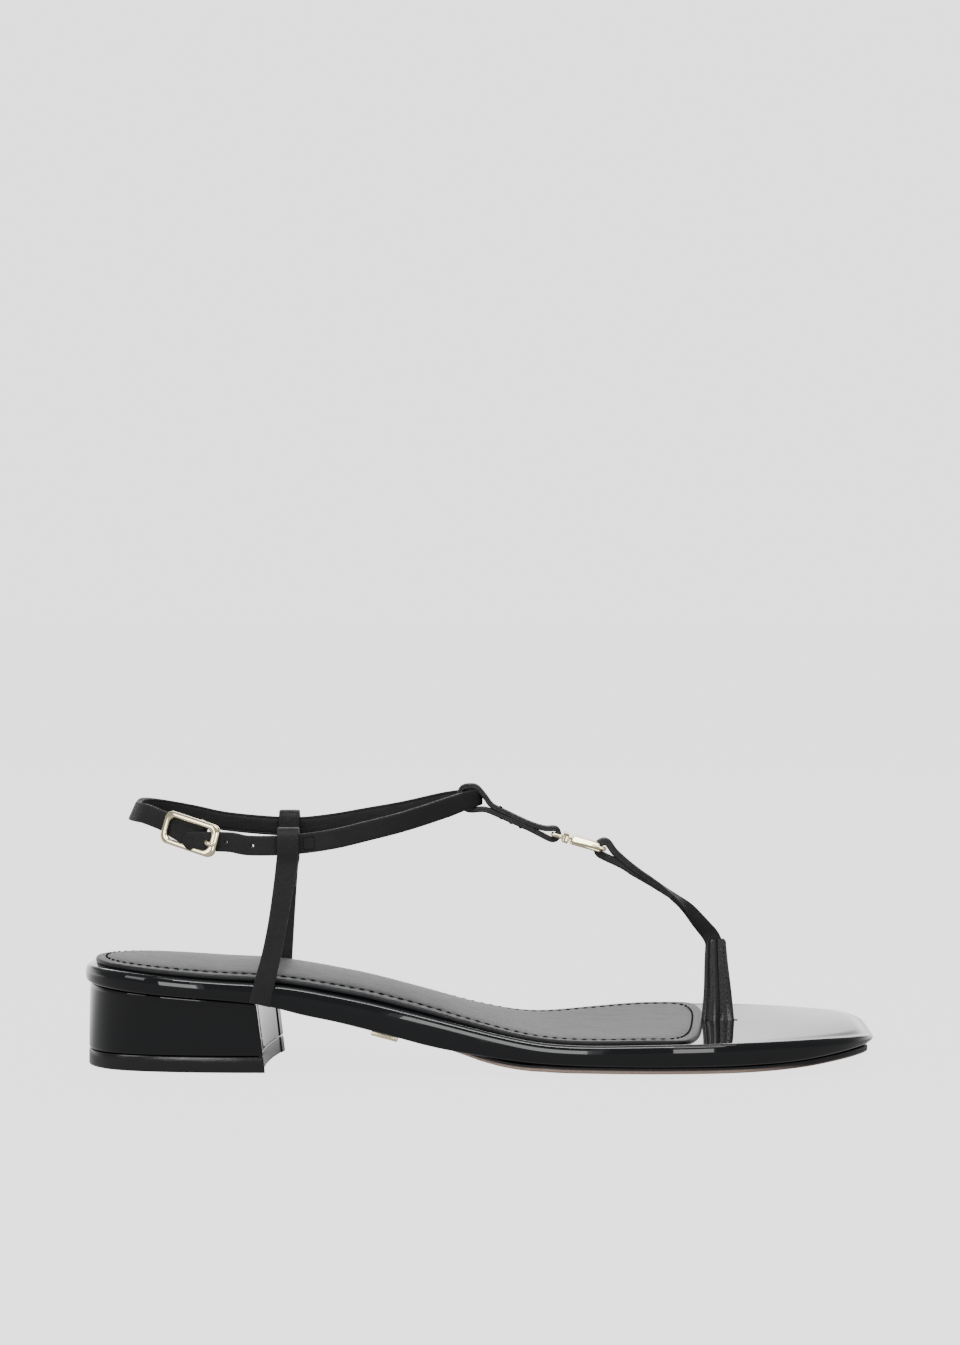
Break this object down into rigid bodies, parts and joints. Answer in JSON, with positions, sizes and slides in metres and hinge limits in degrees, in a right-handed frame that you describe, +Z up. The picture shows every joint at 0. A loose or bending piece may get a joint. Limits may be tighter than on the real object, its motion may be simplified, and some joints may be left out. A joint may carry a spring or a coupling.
{
  "type": "flat sandal",
  "caption": "Right-foot flat thong sandal: wrapped sole on a low block heel, T-strap with a metal link, buckled ankle strap.",
  "frame": {"origin": "bottom centre of the bounding box, on the ground under the sandal", "axes": "+X towards the toe, +Y towards the inner (big toe) side, +Z up"},
  "size_m": [0.248, 0.0864, 0.0883],
  "materials": {
    "patent_leather": "high-gloss patent",
    "strap_leather": "satin",
    "sock_leather": "semi-gloss smooth leather",
    "outsole_resin": "matte",
    "heel_rubber": "matte with a polished edge",
    "gold_hardware": "polished pale gold plating"
  },
  "bodies": {
    "root": {"ankle_strap": "strap_leather", "arch_plate": "gold_hardware", "buckle_frame": "gold_hardware", "buckle_prong": "gold_hardware", "heel_block": "patent_leather", "heel_top_piece": "heel_rubber", "insole_sock": "sock_leather", "link": "gold_hardware", "outsole": "outsole_resin", "platform": "patent_leather", "quarter_strap_lateral": "strap_leather", "quarter_strap_medial": "strap_leather", "t_strap_front": "strap_leather", "t_strap_rear": "strap_leather", "thong_post": "strap_leather"}
  },
  "joints": []
}
